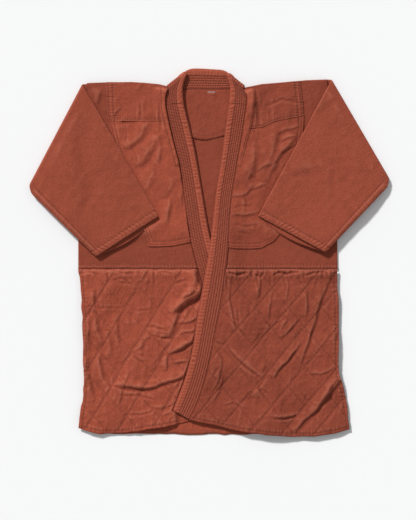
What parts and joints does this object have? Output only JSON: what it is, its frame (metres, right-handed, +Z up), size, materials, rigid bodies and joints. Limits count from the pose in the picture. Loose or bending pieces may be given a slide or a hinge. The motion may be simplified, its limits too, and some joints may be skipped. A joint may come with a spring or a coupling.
{
  "type": "judo jacket",
  "caption": "Judo jacket laid flat on its back, sleeves folded forward over the fronts, with a thick row-stitched lapel band, reinforced shoulders and chest and a diamond-quilted skirt.",
  "frame": {"origin": "middle of the bounding box in plan, on the surface that the jacket lies on", "axes": "+X across the jacket towards the wearer's left, +Y from the hem to the neck, +Z up from the surface"},
  "size_m": [0.7998, 0.809, 0.0191],
  "materials": {
    "body_cloth": "terracotta cotton in a rice-grain weave, matt",
    "skirt_cloth": "terracotta cotton twill with stitched diamonds, matt",
    "patch_cloth": "smooth terracotta cotton twill, slightly washed out on its edges",
    "lapel_cloth": "terracotta cotton twill in stitched rows beside a puckered roll",
    "label_cloth": "plain pale grey woven tape"
  },
  "bodies": {
    "root": {"back_panel": "body_cloth", "back_skirt": "skirt_cloth", "back_yoke": "patch_cloth", "front_right": "body_cloth", "front_left": "body_cloth", "chest_patch_right": "patch_cloth", "chest_patch_left": "patch_cloth", "shoulder_patch_right": "patch_cloth", "shoulder_patch_left": "patch_cloth", "neck_strip_right": "patch_cloth", "neck_strip_left": "patch_cloth", "skirt_right": "skirt_cloth", "skirt_left": "skirt_cloth", "lapel_right": "lapel_cloth", "lapel_left": "lapel_cloth", "collar": "lapel_cloth", "neck_label": "label_cloth", "sleeve_right": "body_cloth", "sleeve_left": "body_cloth"}
  },
  "joints": []
}
